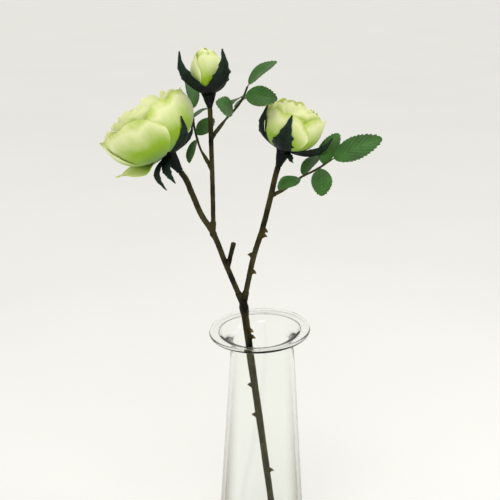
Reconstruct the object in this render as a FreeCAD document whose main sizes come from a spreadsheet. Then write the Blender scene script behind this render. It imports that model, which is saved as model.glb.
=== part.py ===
"""Glass flower vase with an artificial rose spray standing in it.

Frame: millimetres, +Z up, origin at the centre of the vase's foot. +X is the side of the half-open rose, and
-Y is the front, to which the spray leans. The spray is one long moulded stem with two side branches, three
push-on flower heads and three push-on leaf sprigs.
"""

import FreeCAD
import Part
import Sketcher
import math
import os

Vector = FreeCAD.Vector

# Driving dimensions: alias, millimetres, what it is.
SIZES = [
    ("vase_height", 250.0, "foot to the crest of the lip"),
    ("foot_radius", 41.0, "outside of the foot"),
    ("heel_radius", 4.0, "rounding between foot and wall"),
    ("neck_radius", 25.2, "outside of the neck, the narrowest place"),
    ("neck_height", 238.0, "height of the narrowest place"),
    ("lip_radius", 40.3, "outside of the flared lip"),
    ("lip_thickness", 3.4, "glass at the lip's rounded edge"),
    ("lip_droop", 1.4, "how far the lip's edge hangs below its crest"),
    ("crest_radius", 32.0, "radius of the lip's highest ring"),
    ("flare_radius", 10.5, "rounding from the neck into the lip, inside"),
    ("underflare_radius", 6.5, "rounding from the neck into the lip, outside"),
    ("wall", 3.0, "thickness of the glass wall"),
    ("base_glass", 8.0, "thickness of the glass floor"),
    ("well_radius", 6.0, "rounding inside, between wall and floor"),
    ("stem_radius", 3.0, "main stem"),
    ("stem_bore", 1.05, "bore for the steel wire of the main stem"),
    ("left_branch_radius", 2.1, "branch of the open rose"),
    ("right_branch_radius", 2.1, "branch of the half-open rose"),
    ("centre_branch_radius", 1.7, "branch of the bud"),
    ("branch_bore", 0.65, "bore for the steel wire of a branch"),
    ("wire_play", 0.05, "gap between a wire and its bore"),
    ("arm_wall", 0.5, "how much thicker a fork's arm is than its branch"),
    ("peg_radius", 1.2, "peg at a branch's end, which holds a flower head"),
    ("peg_length", 7.0, "length of that peg"),
    ("head_play", 0.05, "radial play of a head on its peg"),
    ("end_gap", 0.3, "gap between a turning piece and the shoulder behind it"),
    ("stub_radius", 1.6, "shoulder that carries a leaf sprig"),
    ("stub_length", 4.2, "length of that shoulder, from the branch's middle"),
    ("pin_radius", 0.7, "pin on that shoulder"),
    ("pin_length", 5.0, "length of that pin"),
    ("sleeve_radius", 1.5, "thick foot of a leaf stalk"),
    ("stalk_radius", 0.65, "leaf stalk"),
    ("knob_radius", 0.8, "swelling at the end of a leaf stalk"),
    ("cut_stub_radius", 1.8, "stub of the branch that was snipped off"),
    ("thorn_radius", 1.3, "root of a thorn"),
    ("thorn_length", 2.8, "thorn, from the stem's surface to its point"),
    ("petal_thickness", 0.6, "one ring of stiffened fabric petals"),
    ("post_radius", 1.4, "post on the hip that holds the petal rings"),
    ("post_play", 0.15, "gap between that post and what is threaded on it"),
    ("collar_thickness", 0.9, "collar that joins the sepals"),
    ("sepal_thickness", 0.7, "one sepal"),
    ("leaf_thickness", 0.6, "one leaflet"),
]

# The straight lower stem: where it stands on the vase's floor, and where it forks.
STEM_FOOT = (17.2, 18.5, 8.75)
LOWER_FORK = (-15.0, -22.6, 281.6)
UPPER_FORK = (-37.0, -32.5, 342.0)

# Arms: the straight socket of a fork that each branch grows out of, from the fork to where the branch starts.
ARMS = {
    "left_branch": (LOWER_FORK, (-19.0, -24.2, 291.4)),
    "right_branch": (LOWER_FORK, (-13.0, -23.5, 292.1)),
    "centre_branch": (UPPER_FORK, (-36.4, -33.1, 350.5)),
}

# Routes of the branches, from the end of their arm to the flower head.
ROUTES = {
    "left_branch": [
        ARMS["left_branch"][1], (-27.6, -27.6, 315.0), UPPER_FORK, (-44.3, -36.6, 356.0),
        (-50.4, -41.0, 373.0), (-55.0, -43.6, 385.5), (-57.9, -43.2, 389.6),
    ],
    "centre_branch": [
        ARMS["centre_branch"][1], (-36.4, -35.8, 380.0), (-36.8, -38.2, 412.0), (-37.2, -39.5, 433.0),
    ],
    "right_branch": [
        ARMS["right_branch"][1], (-6.7, -23.9, 322.5), (-1.0, -22.8, 341.0), (4.2, -21.2, 362.0),
        (8.9, -19.7, 383.0), (10.3, -19.4, 387.6),
    ],
}
WIRE_START = 4.2
WIRE_END = 2.0
STALK_STATIONS = 7

CUT_STUB = ((-26.6, -27.1, 312.5), (-22.0, -26.0, 332.0))

# Thorns: the piece, the height of the root, and the way the thorn points.
THORNS = [
    ("main_stem", 252.0, (0.95, -0.25, -0.15)),
    ("main_stem", 258.0, (0.90, -0.42, -0.10)),
    ("main_stem", 206.0, (-0.86, 0.50, 0.10)),
    ("main_stem", 176.0, (-0.86, 0.50, 0.20)),
    ("main_stem", 117.0, (0.98, -0.20, 0.10)),
    ("main_stem", 66.0, (-0.80, 0.55, 0.20)),
    ("right_branch", 341.0, (0.86, -0.50, 0.10)),
    ("right_branch", 335.0, (0.93, -0.20, 0.30)),
    ("right_branch", 321.0, (-0.95, 0.05, 0.30)),
    ("right_branch", 309.0, (0.95, -0.10, -0.30)),
]

# Flower heads, each in its own frame: +Z out of the branch, +X to the front, foot of the hip at zero.
# Petal rings, outside in: widest radius, height of the floor, height where it is widest, height of the rim,
# radius of the rim. Core: radius, height of the floor, height of the top.
# Sepals: angle round the head from the front, radius and height of the tip, outward bulge, width.
# Guard petal: the same list.
HEADS = {
    "large": {
        "axis": (-0.57, 0.08, 0.82),
        "branch": "left_branch",
        "hip": (2.4, 5.6, 14.0),
        "rings": {
            "outer_petals": (32.5, 15.7, 41.0, 50.0, 31.5),
            "third_petals": (28.0, 16.9, 41.0, 52.0, 26.0),
            "second_petals": (23.0, 18.1, 41.0, 54.0, 20.0),
            "inner_petals": (17.5, 19.3, 41.0, 55.5, 14.0),
        },
        "core": (11.5, 20.5, 54.0),
        "sepals": [
            (54.0, 31.0, 13.7, 5.6, 7.5),
            (100.0, 24.5, 5.5, 3.0, 7.5),
            (190.0, 26.0, 7.5, 4.0, 7.5),
            (296.0, 14.0, -19.0, 8.0, 7.5),
            (340.0, 11.5, -18.0, 5.5, 7.5),
        ],
        "guard": (281.0, 38.0, 12.0, 3.4, 18.0),
    },
    "half_open": {
        "axis": (0.30, 0.05, 0.953),
        "branch": "right_branch",
        "hip": (2.4, 5.6, 12.5),
        "rings": {
            "outer_petals": (22.0, 13.9, 34.5, 44.0, 19.5),
            "middle_petals": (17.6, 15.1, 34.0, 47.0, 14.5),
            "inner_petals": (13.0, 16.3, 33.0, 48.5, 9.5),
        },
        "core": (8.4, 17.5, 47.0),
        "sepals": [
            (352.0, 23.8, 24.5, 9.5, 12.0),
            (48.0, 9.5, -6.5, 1.6, 5.0),
            (88.0, 28.5, 18.0, 6.5, 7.5),
            (150.0, 24.0, 14.0, 6.0, 8.0),
            (272.0, 26.0, 25.5, 9.5, 7.5),
        ],
    },
    "bud": {
        "axis": (-0.062, -0.02, 0.998),
        "branch": "centre_branch",
        "hip": (2.0, 4.9, 9.5),
        "rings": {
            "outer_petals": (10.4, 10.8, 25.0, 38.0, 5.2),
            "inner_petals": (8.2, 11.9, 25.0, 39.5, 3.2),
        },
        "core": (6.2, 13.0, 37.5),
        "sepals": [
            (50.0, 18.0, 28.0, 4.6, 9.5),
            (118.0, 14.5, 13.0, 3.4, 6.0),
            (180.0, 16.0, 21.0, 4.2, 7.5),
            (232.0, 15.0, 18.0, 4.2, 7.0),
            (284.0, 19.5, 28.0, 4.2, 7.0),
        ],
    },
}

# Leaf sprigs: the branch, height of the root, way out of the branch, length of the sleeve, the stalk's route
# beyond the sleeve, and the leaflets as foot, tip, side they face, width and bulge.
SPRIGS = {
    "right_sprig": {
        "branch": "right_branch",
        "root_height": 366.0,
        "toward": (0.87, -0.10, 0.48),
        "sleeve": 8.5,
        "route": [(26.0, -24.0, 380.5), (38.0, -26.0, 387.5), (47.5, -28.0, 394.6)],
        "leaflets": {
            "near_lower": ((26.0, -24.0, 380.5), (10.0, -37.0, 375.0), (-0.35, -0.62, 0.70), 12.5, 1.6),
            "near_upper": ((27.6, -24.3, 381.5), (41.0, -8.0, 394.5), (-0.55, -0.10, 0.83), 11.0, 1.6),
            "far_lower": ((40.0, -26.4, 388.9), (41.0, -33.5, 369.6), (0.10, -0.97, 0.22), 15.0, 1.4),
            "far_upper": ((41.5, -26.7, 390.0), (53.2, -13.0, 410.5), (-0.62, -0.40, 0.67), 12.0, 1.6),
            "end": ((47.5, -28.0, 394.6), (82.0, -31.0, 410.5), (-0.20, -0.85, 0.48), 17.0, 2.2),
        },
    },
    "upper_sprig": {
        "branch": "centre_branch",
        "root_height": 412.0,
        "toward": (0.62, 0.14, 0.77),
        "sleeve": 10.5,
        "route": [(-21.0, -34.4, 430.5), (-15.2, -32.4, 438.0), (-11.6, -30.6, 446.4)],
        "leaflets": {
            "near_lower": ((-21.6, -34.6, 429.7), (-32.6, -51.0, 438.6), (0.50, -0.45, 0.74), 11.5, 1.5),
            "near_upper": ((-20.2, -34.1, 431.5), (-9.5, -20.5, 437.5), (-0.62, -0.05, 0.78), 9.5, 1.5),
            "far_lower": ((-14.6, -32.2, 439.0), (-21.8, -43.0, 436.0), (-0.60, -0.30, 0.74), 9.0, 1.4),
            "far_upper": ((-14.0, -31.9, 440.3), (8.6, -38.5, 438.8), (0.06, -0.93, 0.36), 14.0, 1.8),
            "end": ((-11.6, -30.6, 446.4), (8.4, -22.0, 462.0), (-0.50, -0.50, 0.70), 12.0, 2.4),
        },
    },
    "left_sprig": {
        "branch": "centre_branch",
        "root_height": 390.0,
        "toward": (-0.50, 0.40, 0.77),
        "sleeve": 9.5,
        "route": [(-47.0, -25.6, 408.4), (-49.8, -20.0, 419.0), (-50.8, -16.6, 427.4)],
        "leaflets": {
            "near_lower": ((-47.2, -25.3, 409.0), (-52.5, -33.5, 393.5), (-0.70, -0.60, 0.20), 9.5, 1.5),
            "near_upper": ((-47.8, -24.2, 411.0), (-35.5, -18.0, 422.0), (-0.30, -0.92, 0.20), 10.5, 1.5),
            "far_lower": ((-49.6, -20.4, 418.0), (-60.5, -8.0, 422.5), (-0.20, -0.30, 0.93), 9.0, 1.2),
            "far_upper": ((-50.3, -18.6, 422.3), (-38.6, -8.0, 427.5), (-0.30, 0.0, 0.95), 9.0, 1.2),
            "end": ((-50.8, -16.6, 427.4), (-56.5, -9.0, 449.5), (0.75, -0.55, 0.35), 14.0, 4.0),
        },
    },
}

# Blade outlines: share of the length, share of the width.
LEAF_OUTLINE = [(0.0, 0.08), (0.12, 0.40), (0.28, 0.84), (0.48, 1.0), (0.70, 0.80), (0.88, 0.40), (1.0, 0.05)]
SEPAL_OUTLINE = [(0.0, 0.80), (0.2, 1.0), (0.45, 0.86), (0.7, 0.50), (0.88, 0.24), (1.0, 0.08)]
PETAL_OUTLINE = [(0.0, 0.30), (0.2, 0.62), (0.45, 0.92), (0.7, 1.0), (0.88, 0.78), (1.0, 0.22)]

doc = FreeCAD.newDocument("flower_vase")
sizes = doc.addObject("Spreadsheet::Sheet", "Sizes")
finished = []
shapes = {}


# ---- sheet and small helpers -----------------------------------------------------------------------------


def head_sizes():
    """Sheet rows for the flower heads' revolved pieces."""
    rows = []
    for head, plan in HEADS.items():
        hip_foot, hip_top, hip_height = plan["hip"]
        core_radius, core_floor, core_top = plan["core"]
        rows += [
            (f"{head}_hip_foot", hip_foot, "radius of the hip at the branch"),
            (f"{head}_hip_top", hip_top, "radius of the hip under the sepals"),
            (f"{head}_hip_height", hip_height, "length of the hip"),
            (f"{head}_core_radius", core_radius, "radius of the core"),
            (f"{head}_core_floor", core_floor, "height of the core's floor"),
            (f"{head}_core_top", core_top, "height of the core's top"),
        ]
        for ring, (radius, floor, widest, rim, rim_radius) in plan["rings"].items():
            rows += [
                (f"{head}_{ring}_radius", radius, "widest radius of this ring of petals"),
                (f"{head}_{ring}_floor", floor, "height of its floor"),
                (f"{head}_{ring}_widest", widest, "height where it is widest"),
                (f"{head}_{ring}_rim", rim, "height of its rim"),
                (f"{head}_{ring}_mouth", rim_radius, "radius of its rim"),
            ]
    return rows


def fill_sheet():
    """Writes the driving dimensions, one row each, as a note and a plain number with an alias."""
    for row, (alias, value, note) in enumerate(SIZES + head_sizes(), start=1):
        sizes.set(f"A{row}", note)
        sizes.set(f"B{row}", str(value))
        sizes.setAlias(f"B{row}", alias)
    doc.recompute()


def size(alias):
    """The number in the cell with this alias."""
    return float(getattr(sizes, alias))


def value_of(expression):
    """What an expression of sheet aliases comes to, as a number."""
    return float(sizes.evalExpression(expression))


def finish(piece, label):
    """Gives a sub-part its label, which names its file, and lists it for export."""
    piece.Label = label
    finished.append(piece)
    return piece


def solid_feature(label, shape, placement=None):
    """A sub-part whose shape no standard feature makes."""
    piece = doc.addObject("Part::Feature", label)
    piece.Shape = shape
    if placement:
        piece.Placement = placement
    shapes[label] = piece.Shape.copy()
    return finish(piece, label)


def along(start, end):
    """The direction from one point to another."""
    return (Vector(*end) - Vector(*start)).normalize()


def head_placement(head):
    """The place of a flower head: its foot at the end of its branch, +X turned to the front."""
    plan = HEADS[head]
    z = Vector(*plan["axis"]).normalize()
    front = Vector(0, -1, 0)
    x = (front - z * front.dot(z)).normalize()
    foot = Vector(*ROUTES[plan["branch"]][-1])
    return FreeCAD.Placement(foot, FreeCAD.Rotation(x, z.cross(x), z, "ZXY"))


# ---- revolved pieces -------------------------------------------------------------------------------------


def round_arc(start, end, radius, bulges_left):
    """The shorter arc between two points, drawn anticlockwise, and whether it then runs from end to start."""
    middle = (start + end) * 0.5
    half = (end - start).Length / 2
    left = Vector(start.y - end.y, end.x - start.x, 0).normalize()
    reach = math.sqrt(radius ** 2 - half ** 2)
    centre = middle - left * reach if bulges_left else middle + left * reach
    first, last = (end, start) if bulges_left else (start, end)
    angles = [math.atan2(point.y - centre.y, point.x - centre.x) for point in (first, last)]
    if angles[1] < angles[0]:
        angles[1] += 2 * math.pi
    circle = Part.Circle(centre, Vector(0, 0, 1), radius)
    return Part.ArcOfCircle(circle, angles[0], angles[1])


def hold_point(sketch, geometry, end, x_expression, y_expression):
    """Holds one end of a sketch line or arc at a place given by two expressions."""
    for kind, expression, axis in (("DistanceX", x_expression, -2), ("DistanceY", y_expression, -1)):
        if expression == "0":
            sketch.addConstraint(Sketcher.Constraint("PointOnObject", geometry, end, axis))
            continue
        wanted = value_of(expression)
        index = sketch.addConstraint(Sketcher.Constraint(kind, -1, 1, geometry, end, wanted))
        sketch.setExpression(f"Constraints[{index}]", expression)


def revolved_body(label, outline, placement=None):
    """A body turned about its Z axis.

    Each entry of the outline is a corner, as two expressions, and the run to the next corner: None for a
    straight line, or the arc's radius as an expression and whether it bulges to the left of the way.
    """
    body = doc.addObject("PartDesign::Body", label)
    sketch = body.newObject("Sketcher::SketchObject", f"{label}_profile")
    plane = next(f for f in body.Origin.OriginFeatures if f.Role == "XZ_Plane")
    sketch.AttachmentSupport = [(plane, "")]
    sketch.MapMode = "FlatFace"
    corners = [Vector(value_of(x), value_of(y), 0) for x, y, _ in outline]
    starts = []
    for number, (_, _, run) in enumerate(outline):
        start, end = corners[number], corners[(number + 1) % len(corners)]
        if run is None:
            sketch.addGeometry(Part.LineSegment(start, end), False)
            starts.append(1)
        else:
            sketch.addGeometry(round_arc(start, end, value_of(run[0]), run[1]), False)
            starts.append(2 if run[1] else 1)
    for number, (x, y, run) in enumerate(outline):
        before = number - 1 if number else len(outline) - 1
        sketch.addConstraint(
            Sketcher.Constraint("Coincident", before, 3 - starts[before], number, starts[number])
        )
        hold_point(sketch, number, starts[number], x, y)
        if run is not None:
            index = sketch.addConstraint(Sketcher.Constraint("Radius", number, value_of(run[0])))
            sketch.setExpression(f"Constraints[{index}]", run[0])
    turn = body.newObject("PartDesign::Revolution", f"{label}_turn")
    turn.Profile = sketch
    turn.ReferenceAxis = (sketch, ["V_Axis"])
    turn.Angle = 360.0
    if placement:
        body.Placement = placement
    return finish(body, label)


def glass_vase():
    """One piece of clear glass: thick floor, tapering wall, narrow neck and a broad lip that rolls over."""
    slope = "((Sizes.foot_radius - Sizes.neck_radius) / Sizes.neck_height)"
    well_top = "(Sizes.base_glass + Sizes.well_radius)"
    well_x = f"(Sizes.foot_radius - {slope} * {well_top} - Sizes.wall)"
    edge_x = "Sizes.lip_radius - Sizes.lip_thickness / 2"
    edge_top = "Sizes.vase_height - Sizes.lip_droop"
    edge_low = f"{edge_top} - Sizes.lip_thickness"
    under_x = "Sizes.neck_radius + Sizes.underflare_radius * 0.9"
    return revolved_body(
        "glass_vase",
        [
            ("0", "0", None),
            ("Sizes.foot_radius - Sizes.heel_radius", "0", ("Sizes.heel_radius", False)),
            (f"Sizes.foot_radius - {slope} * Sizes.heel_radius", "Sizes.heel_radius", None),
            ("Sizes.neck_radius", "Sizes.neck_height", ("Sizes.underflare_radius", True)),
            (under_x, edge_low, None),
            (edge_x, edge_low, ("Sizes.lip_thickness * 0.52", False)),
            (edge_x, edge_top, None),
            ("Sizes.crest_radius", "Sizes.vase_height", ("Sizes.flare_radius * 1.2", False)),
            ("Sizes.neck_radius - Sizes.wall", "Sizes.neck_height", None),
            (well_x, well_top, ("Sizes.well_radius", True)),
            (f"{well_x} - Sizes.well_radius", "Sizes.base_glass", None),
            ("0", "Sizes.base_glass", None),
        ],
    )


def hip(head):
    """The swollen foot of a flower head: socket for the branch's peg below, post for the petals above."""
    socket = "Sizes.peg_radius + Sizes.head_play"
    top = f"Sizes.{head}_hip_height"
    post_top = f"Sizes.{head}_core_floor + 8"
    return revolved_body(
        f"{head}_hip",
        [
            (socket, "Sizes.end_gap", None),
            (f"Sizes.{head}_hip_foot", "Sizes.end_gap", (f"{top} * 1.5", True)),
            (f"Sizes.{head}_hip_top", top, None),
            ("Sizes.post_radius", top, None),
            ("Sizes.post_radius", post_top, None),
            ("0", post_top, None),
            ("0", "Sizes.peg_length + Sizes.end_gap", None),
            (socket, "Sizes.peg_length + Sizes.end_gap", None),
        ],
        head_placement(head),
    )


def petal_ring(head, ring):
    """One ring of overlapping fabric petals, drawn as the closed cup that they make."""
    bore = "Sizes.post_radius + Sizes.post_play"
    name = f"Sizes.{head}_{ring}"
    skin = "Sizes.petal_thickness"
    foot = f"{name}_radius * 0.28"
    bowl = f"({name}_widest - {name}_floor) * 1.02"
    wall = f"({name}_rim - {name}_widest) * 2.2"
    return revolved_body(
        f"{head}_{ring}",
        [
            (bore, f"{name}_floor", None),
            (foot, f"{name}_floor", (bowl, False)),
            (f"{name}_radius", f"{name}_widest", (wall, False)),
            (f"{name}_mouth", f"{name}_rim", None),
            (f"{name}_mouth - {skin}", f"{name}_rim", (wall, True)),
            (f"{name}_radius - {skin}", f"{name}_widest", (bowl, True)),
            (foot, f"{name}_floor + {skin}", None),
            (bore, f"{name}_floor + {skin}", None),
        ],
        head_placement(head),
    )


def core(head):
    """The foam bud in the middle of a flower head, threaded on the post."""
    bore = "Sizes.post_radius + Sizes.post_play"
    name = f"Sizes.{head}_core"
    middle = f"({name}_floor + {name}_top) / 2"
    reach = f"({name}_top - {name}_floor) * 0.62"
    socket_top = f"{name}_floor + 8 + Sizes.end_gap"
    return revolved_body(
        f"{head}_core",
        [
            (bore, f"{name}_floor", None),
            (f"{name}_radius * 0.35", f"{name}_floor", (reach, False)),
            (f"{name}_radius", middle, (reach, False)),
            (f"{name}_radius * 0.2", f"{name}_top", None),
            ("0", f"{name}_top", None),
            ("0", socket_top, None),
            (bore, socket_top, None),
        ],
        head_placement(head),
    )


# ---- thin blades -----------------------------------------------------------------------------------------


def blade(foot, tip, faces, width, bulge, thickness, outline):
    """A thin curved blade: sections square to its middle line, wide as the outline says, lofted together."""
    foot, tip, faces = Vector(*foot), Vector(*tip), Vector(*faces)
    length = (tip - foot).Length
    forward = (tip - foot).normalize()
    out = (faces - forward * faces.dot(forward)).normalize()
    across = forward.cross(out)
    sections = []
    for share, wide in outline:
        middle = foot + forward * length * share + out * bulge * 4 * share * (1 - share)
        lean = (forward * length + out * bulge * 4 * (1 - 2 * share)).normalize()
        up = across.cross(lean).normalize()
        side = across * width * wide / 2
        lift = up * thickness / 2
        corners = [middle - side - lift, middle + side - lift, middle + side + lift, middle - side + lift]
        sections.append(Part.makePolygon(corners + corners[:1]))
    return Part.makeLoft(sections, True, False)


def head_blade(angle, radius, height, bulge, width, floor, foot_radius, thickness, outline):
    """A blade of a flower head, from beside the post to a tip given by angle, radius and height."""
    turn = math.radians(angle)
    out = Vector(math.cos(turn), math.sin(turn), 0)
    foot = out * foot_radius + Vector(0, 0, floor)
    tip = out * radius + Vector(0, 0, floor + height)
    chord = tip - foot
    faces = out * abs(chord.z) - Vector(0, 0, chord.dot(out)) * (1 if chord.z > 0 else -1)
    return blade(foot, tip, faces, width, bulge, thickness, outline)


def ring_disc(outer, inner, floor, thickness):
    """A flat washer about Z."""
    disc = Part.makeCylinder(outer, thickness, Vector(0, 0, floor))
    return disc.cut(Part.makeCylinder(inner, thickness, Vector(0, 0, floor)))


def calyx(head):
    """Five sepals moulded in one with a collar that sits on the hip."""
    plan = HEADS[head]
    bore = size("post_radius") + size("post_play")
    floor = size(f"{head}_hip_height")
    thick = size("collar_thickness")
    collar_radius = size(f"{head}_hip_top") + 0.2
    shape = ring_disc(collar_radius, bore, floor, thick)
    for angle, radius, height, bulge, width in plan["sepals"]:
        sepal = head_blade(
            angle, radius, height, bulge, width, floor + thick / 2, collar_radius - 2.4,
            size("sepal_thickness"), SEPAL_OUTLINE,
        )
        shape = shape.fuse(sepal)
    below = Part.makeCylinder(collar_radius - 0.2, floor, Vector(0, 0, 0))
    shape = shape.cut(below).removeSplitter()
    return solid_feature(f"{head}_calyx", shape, head_placement(head))


def guard_petal(head):
    """One loose petal that droops from under the outermost ring, on a washer threaded on the post."""
    angle, radius, height, bulge, width = HEADS[head]["guard"]
    bore = size("post_radius") + size("post_play")
    floor = size(f"{head}_hip_height") + size("collar_thickness")
    thick = size("petal_thickness")
    washer_radius = size(f"{head}_hip_top") - 1
    shape = ring_disc(washer_radius, bore, floor, thick)
    petal = head_blade(
        angle, radius, height, bulge, width, floor + thick / 2, washer_radius - 1, thick, PETAL_OUTLINE,
    )
    shape = shape.fuse(petal).cut(Part.makeCylinder(washer_radius + 3, floor, Vector(0, 0, 0)))
    return solid_feature(f"{head}_guard_petal", shape.removeSplitter(), head_placement(head))


# ---- stems and branches ----------------------------------------------------------------------------------


def curve_edge(points, start_heading, end_heading, cut_off=0.0):
    """A smooth curve through the points with its headings at both ends, its end cut off by a length."""
    curve = Part.BSplineCurve()
    curve.interpolate(
        Points=[Vector(*point) for point in points], InitialTangent=start_heading, FinalTangent=end_heading,
    )
    edge = curve.toShape()
    return curve.toShape(edge.FirstParameter, edge.getParameterByLength(edge.Length - cut_off))


def branch_edge(branch, cut_off=0.0):
    """The middle line of a branch, from its arm to its flower head."""
    head = next(name for name, plan in HEADS.items() if plan["branch"] == branch)
    return curve_edge(ROUTES[branch], along(*ARMS[branch]), Vector(*HEADS[head]["axis"]).normalize(), cut_off)


def pipe(edge, radius):
    """A round bar along an edge."""
    start = edge.valueAt(edge.FirstParameter)
    heading = edge.tangentAt(edge.FirstParameter)
    section = Part.Wire(Part.Circle(start, heading, radius).toShape())
    return Part.Wire([edge]).makePipeShell([section], True, True)


def lofted_bar(edge, profile):
    """A round bar along an edge, lofted through circles. The profile gives lengths along it and radii."""
    before = edge.tangentAt(edge.FirstParameter)
    turn = FreeCAD.Rotation(Vector(0, 0, 1), before)
    sections = []
    for length, radius in profile:
        parameter = edge.getParameterByLength(length)
        heading = edge.tangentAt(parameter)
        turn = FreeCAD.Rotation(before, heading) * turn
        before = heading
        section = Part.Wire(Part.makeCircle(radius))
        section.Placement = FreeCAD.Placement(edge.valueAt(parameter), turn)
        sections.append(section)
    return Part.makeLoft(sections, True)


def rod(start, end, radius):
    """A straight round bar from one point to another."""
    start, end = Vector(*start), Vector(*end)
    return Part.makeCylinder(radius, (end - start).Length, start, end - start)


def point_at_height(edge, height):
    """The place on an upward line at this height, and the way it runs there."""
    low, high = edge.FirstParameter, edge.LastParameter
    for _ in range(40):
        middle = (low + high) / 2
        if edge.valueAt(middle).z < height:
            low = middle
        else:
            high = middle
    return edge.valueAt(low), edge.tangentAt(low)


def thorns_of(piece, edge, radius):
    """The thorns of one stem or branch."""
    thorns = []
    for owner, height, toward in THORNS:
        if owner != piece:
            continue
        root, heading = point_at_height(edge, height)
        out = Vector(*toward)
        out = (out - heading * out.dot(heading) * 0.7).normalize()
        length = radius + size("thorn_length")
        thorns.append(Part.makeCone(size("thorn_radius"), 0.2, length, root, out))
    return thorns


def sprig_roots(branch):
    """The sprigs that grow on a branch, with the place and direction of each shoulder."""
    roots = {}
    for name, plan in SPRIGS.items():
        if plan["branch"] == branch:
            place, _ = point_at_height(branch_edge(branch), plan["root_height"])
            roots[name] = (place, Vector(*plan["toward"]).normalize())
    return roots


def arm(branch):
    """The straight arm of a fork, thicker than the branch that grows out of it."""
    return rod(*ARMS[branch], size(f"{branch}_radius") + size("arm_wall"))


def arm_bore(branch):
    """The bore for a branch's wire in the arm of its fork."""
    start = Vector(*ARMS[branch][0]) + along(*ARMS[branch]) * (WIRE_START - size("end_gap"))
    return rod(start, Vector(*ARMS[branch][1]) + along(*ARMS[branch]), size("branch_bore"))


def main_stem():
    """The long straight stem: bored for its wire, thorned, and forked at the top into two short arms."""
    radius = size("stem_radius")
    shape = rod(STEM_FOOT, LOWER_FORK, radius).fuse(Part.makeSphere(radius, Vector(*LOWER_FORK)))
    for branch in ("left_branch", "right_branch"):
        shape = shape.fuse(arm(branch))
    line = Part.makeLine(Vector(*STEM_FOOT), Vector(*LOWER_FORK))
    for thorn in thorns_of("main_stem", line, radius):
        shape = shape.fuse(thorn)
    bore_top = Vector(*LOWER_FORK) - along(STEM_FOOT, LOWER_FORK) * WIRE_START
    shape = shape.cut(rod(STEM_FOOT, bore_top, size("stem_bore")))
    for branch in ("left_branch", "right_branch"):
        shape = shape.cut(arm_bore(branch))
    return solid_feature("main_stem", shape)


def main_stem_wire():
    """The steel wire in the straight stem."""
    heading = along(STEM_FOOT, LOWER_FORK)
    wire = doc.addObject("Part::Cylinder", "main_stem_wire")
    wire.setExpression("Radius", "Sizes.stem_bore - Sizes.wire_play")
    wire.Height = (Vector(*LOWER_FORK) - Vector(*STEM_FOOT)).Length - 6
    start = Vector(*STEM_FOOT) + heading
    wire.Placement = FreeCAD.Placement(start, FreeCAD.Rotation(Vector(0, 0, 1), heading))
    return finish(wire, "main_stem_wire")


def branch_coat(branch, extras=()):
    """The moulded coat of a branch, bored for its wire, with the peg for its flower head at the end."""
    radius = size(f"{branch}_radius")
    edge = branch_edge(branch)
    shape = pipe(edge, radius)
    end = edge.valueAt(edge.LastParameter)
    axis = edge.tangentAt(edge.LastParameter)
    peg_start = end - axis
    shape = shape.fuse(Part.makeCylinder(size("peg_radius"), size("peg_length") + 1, peg_start, axis))
    for place, out in sprig_roots(branch).values():
        shape = shape.fuse(Part.makeCylinder(size("stub_radius"), size("stub_length"), place, out))
        pin_end = size("stub_length") + size("pin_length")
        shape = shape.fuse(Part.makeCylinder(size("pin_radius"), pin_end, place, out))
    for extra in list(extras) + thorns_of(branch, edge, radius):
        shape = shape.fuse(extra)
    return shape.cut(pipe(branch_edge(branch, WIRE_END - size("end_gap")), size("branch_bore")))


def left_branch():
    """Branch of the open rose, which also carries the arm of the bud's branch and a snipped-off stub."""
    shape = branch_coat("left_branch", [arm("centre_branch"), rod(*CUT_STUB, size("cut_stub_radius"))])
    return solid_feature("left_branch", shape.cut(arm_bore("centre_branch")))


def plain_branch(branch):
    """A branch without a fork of its own."""
    return solid_feature(branch, branch_coat(branch))


def branch_wire(branch):
    """The steel wire of a branch, from inside the arm of its fork to just short of the flower head."""
    radius = size("branch_bore") - size("wire_play")
    start = Vector(*ARMS[branch][0]) + along(*ARMS[branch]) * WIRE_START
    wire = rod(start, ARMS[branch][1], radius).fuse(pipe(branch_edge(branch, WIRE_END), radius))
    return solid_feature(f"{branch}_wire", wire)


# ---- leaf sprigs -----------------------------------------------------------------------------------------


def sprig(name):
    """One leaf stalk with a sleeve that turns on the branch's pin, and its five leaflets."""
    plan = SPRIGS[name]
    place, out = sprig_roots(plan["branch"])[name]
    sleeve_start = place + out * (size("stub_length") + size("end_gap"))
    sleeve_end = sleeve_start + out * plan["sleeve"]
    points = [sleeve_start, sleeve_start + out * plan["sleeve"] / 2, sleeve_end] + plan["route"]
    edge = curve_edge(points, out, along(plan["route"][-2], plan["route"][-1]))
    slim_start = plan["sleeve"] + 1
    slim = (edge.Length - slim_start) / (STALK_STATIONS + 1)
    profile = [(length, size("sleeve_radius")) for length in (0, 2, plan["sleeve"] - 3, plan["sleeve"] - 1.5)]
    profile += [(slim_start + slim * station, size("stalk_radius")) for station in range(STALK_STATIONS)]
    profile.append((edge.Length, size("knob_radius")))
    pin_room = size("pin_length") + size("end_gap")
    bore = Part.makeCylinder(size("pin_radius") + size("head_play"), pin_room, sleeve_start, out)
    shape = lofted_bar(edge, profile).cut(bore)
    solid_feature(f"{name}_stalk", shape)
    for leaflet, (foot, tip, faces, width, bulge) in plan["leaflets"].items():
        leaf = blade(foot, tip, faces, width, bulge, size("leaf_thickness"), LEAF_OUTLINE).cut(shape)
        leaf = max(leaf.Solids, key=lambda solid: solid.Volume)
        solid_feature(f"{name}_{leaflet}_leaflet", leaf)


# ---- the whole assembly ----------------------------------------------------------------------------------


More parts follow.
